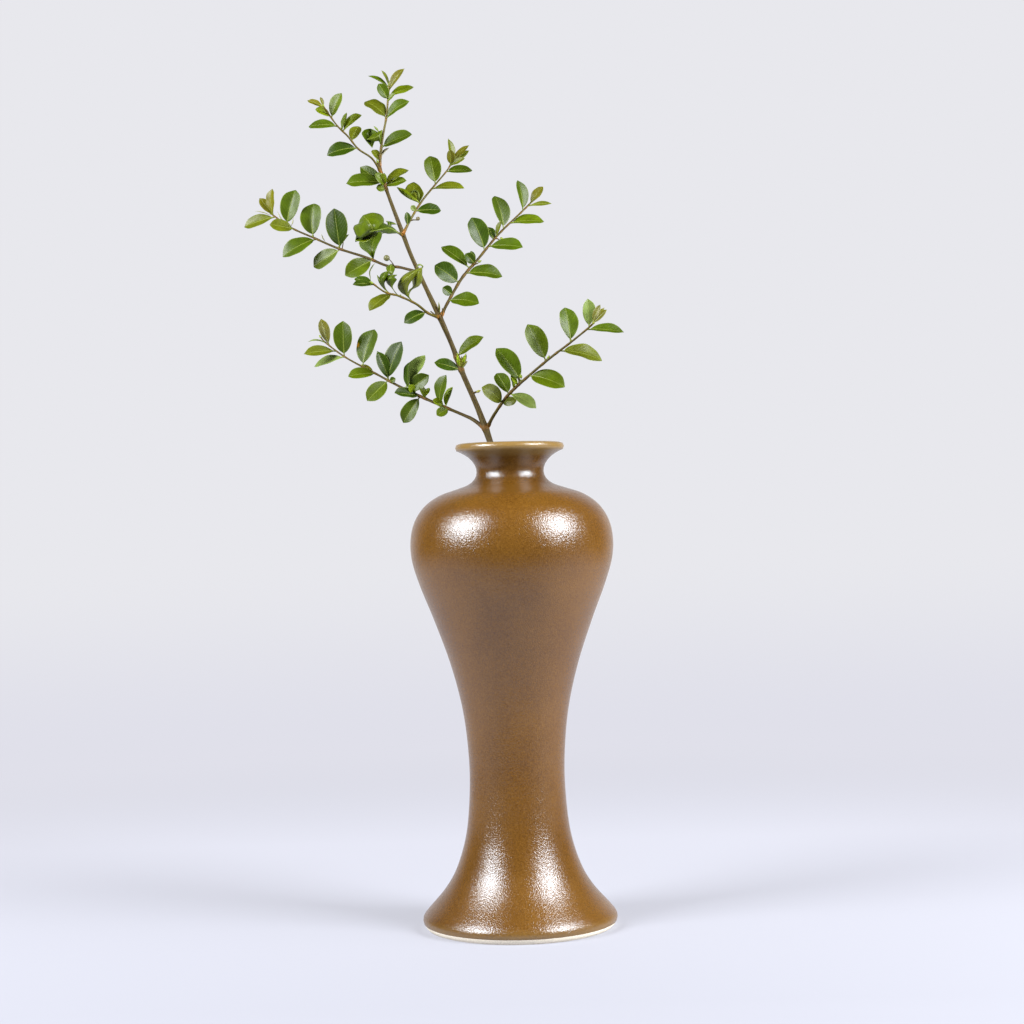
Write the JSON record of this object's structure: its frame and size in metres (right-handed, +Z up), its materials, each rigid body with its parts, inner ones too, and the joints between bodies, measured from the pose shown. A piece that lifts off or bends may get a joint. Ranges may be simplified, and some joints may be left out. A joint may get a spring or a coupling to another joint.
{
  "type": "stem in vase",
  "caption": "Cut leafy branch with small glossy leaves in opposite pairs, leaning out of a tall waisted stoneware vase of water.",
  "frame": {"origin": "middle of the vase's flat base, on the surface that it stands on", "axes": "+Z up along the vase's axis, +X to the right and -Y towards the front, from where the branch leans left"},
  "size_m": [0.24, 0.126, 0.5405],
  "materials": {
    "glaze": "satin",
    "water": "polished",
    "bark": "matte",
    "leaf": "satin",
    "young_leaf": "satin"
  },
  "bodies": {
    "root": {"vase": "glaze", "water": "water", "main_stem": "bark", "spray_low_left": "leaf", "spray_low_right": "leaf", "spray_mid_left": "young_leaf", "spray_mid_right": "leaf", "spray_long_left": "leaf", "spray_curled_left": "young_leaf", "spray_upper_right": "leaf", "spray_top_left": "young_leaf", "spray_leader": "leaf"}
  },
  "joints": []
}
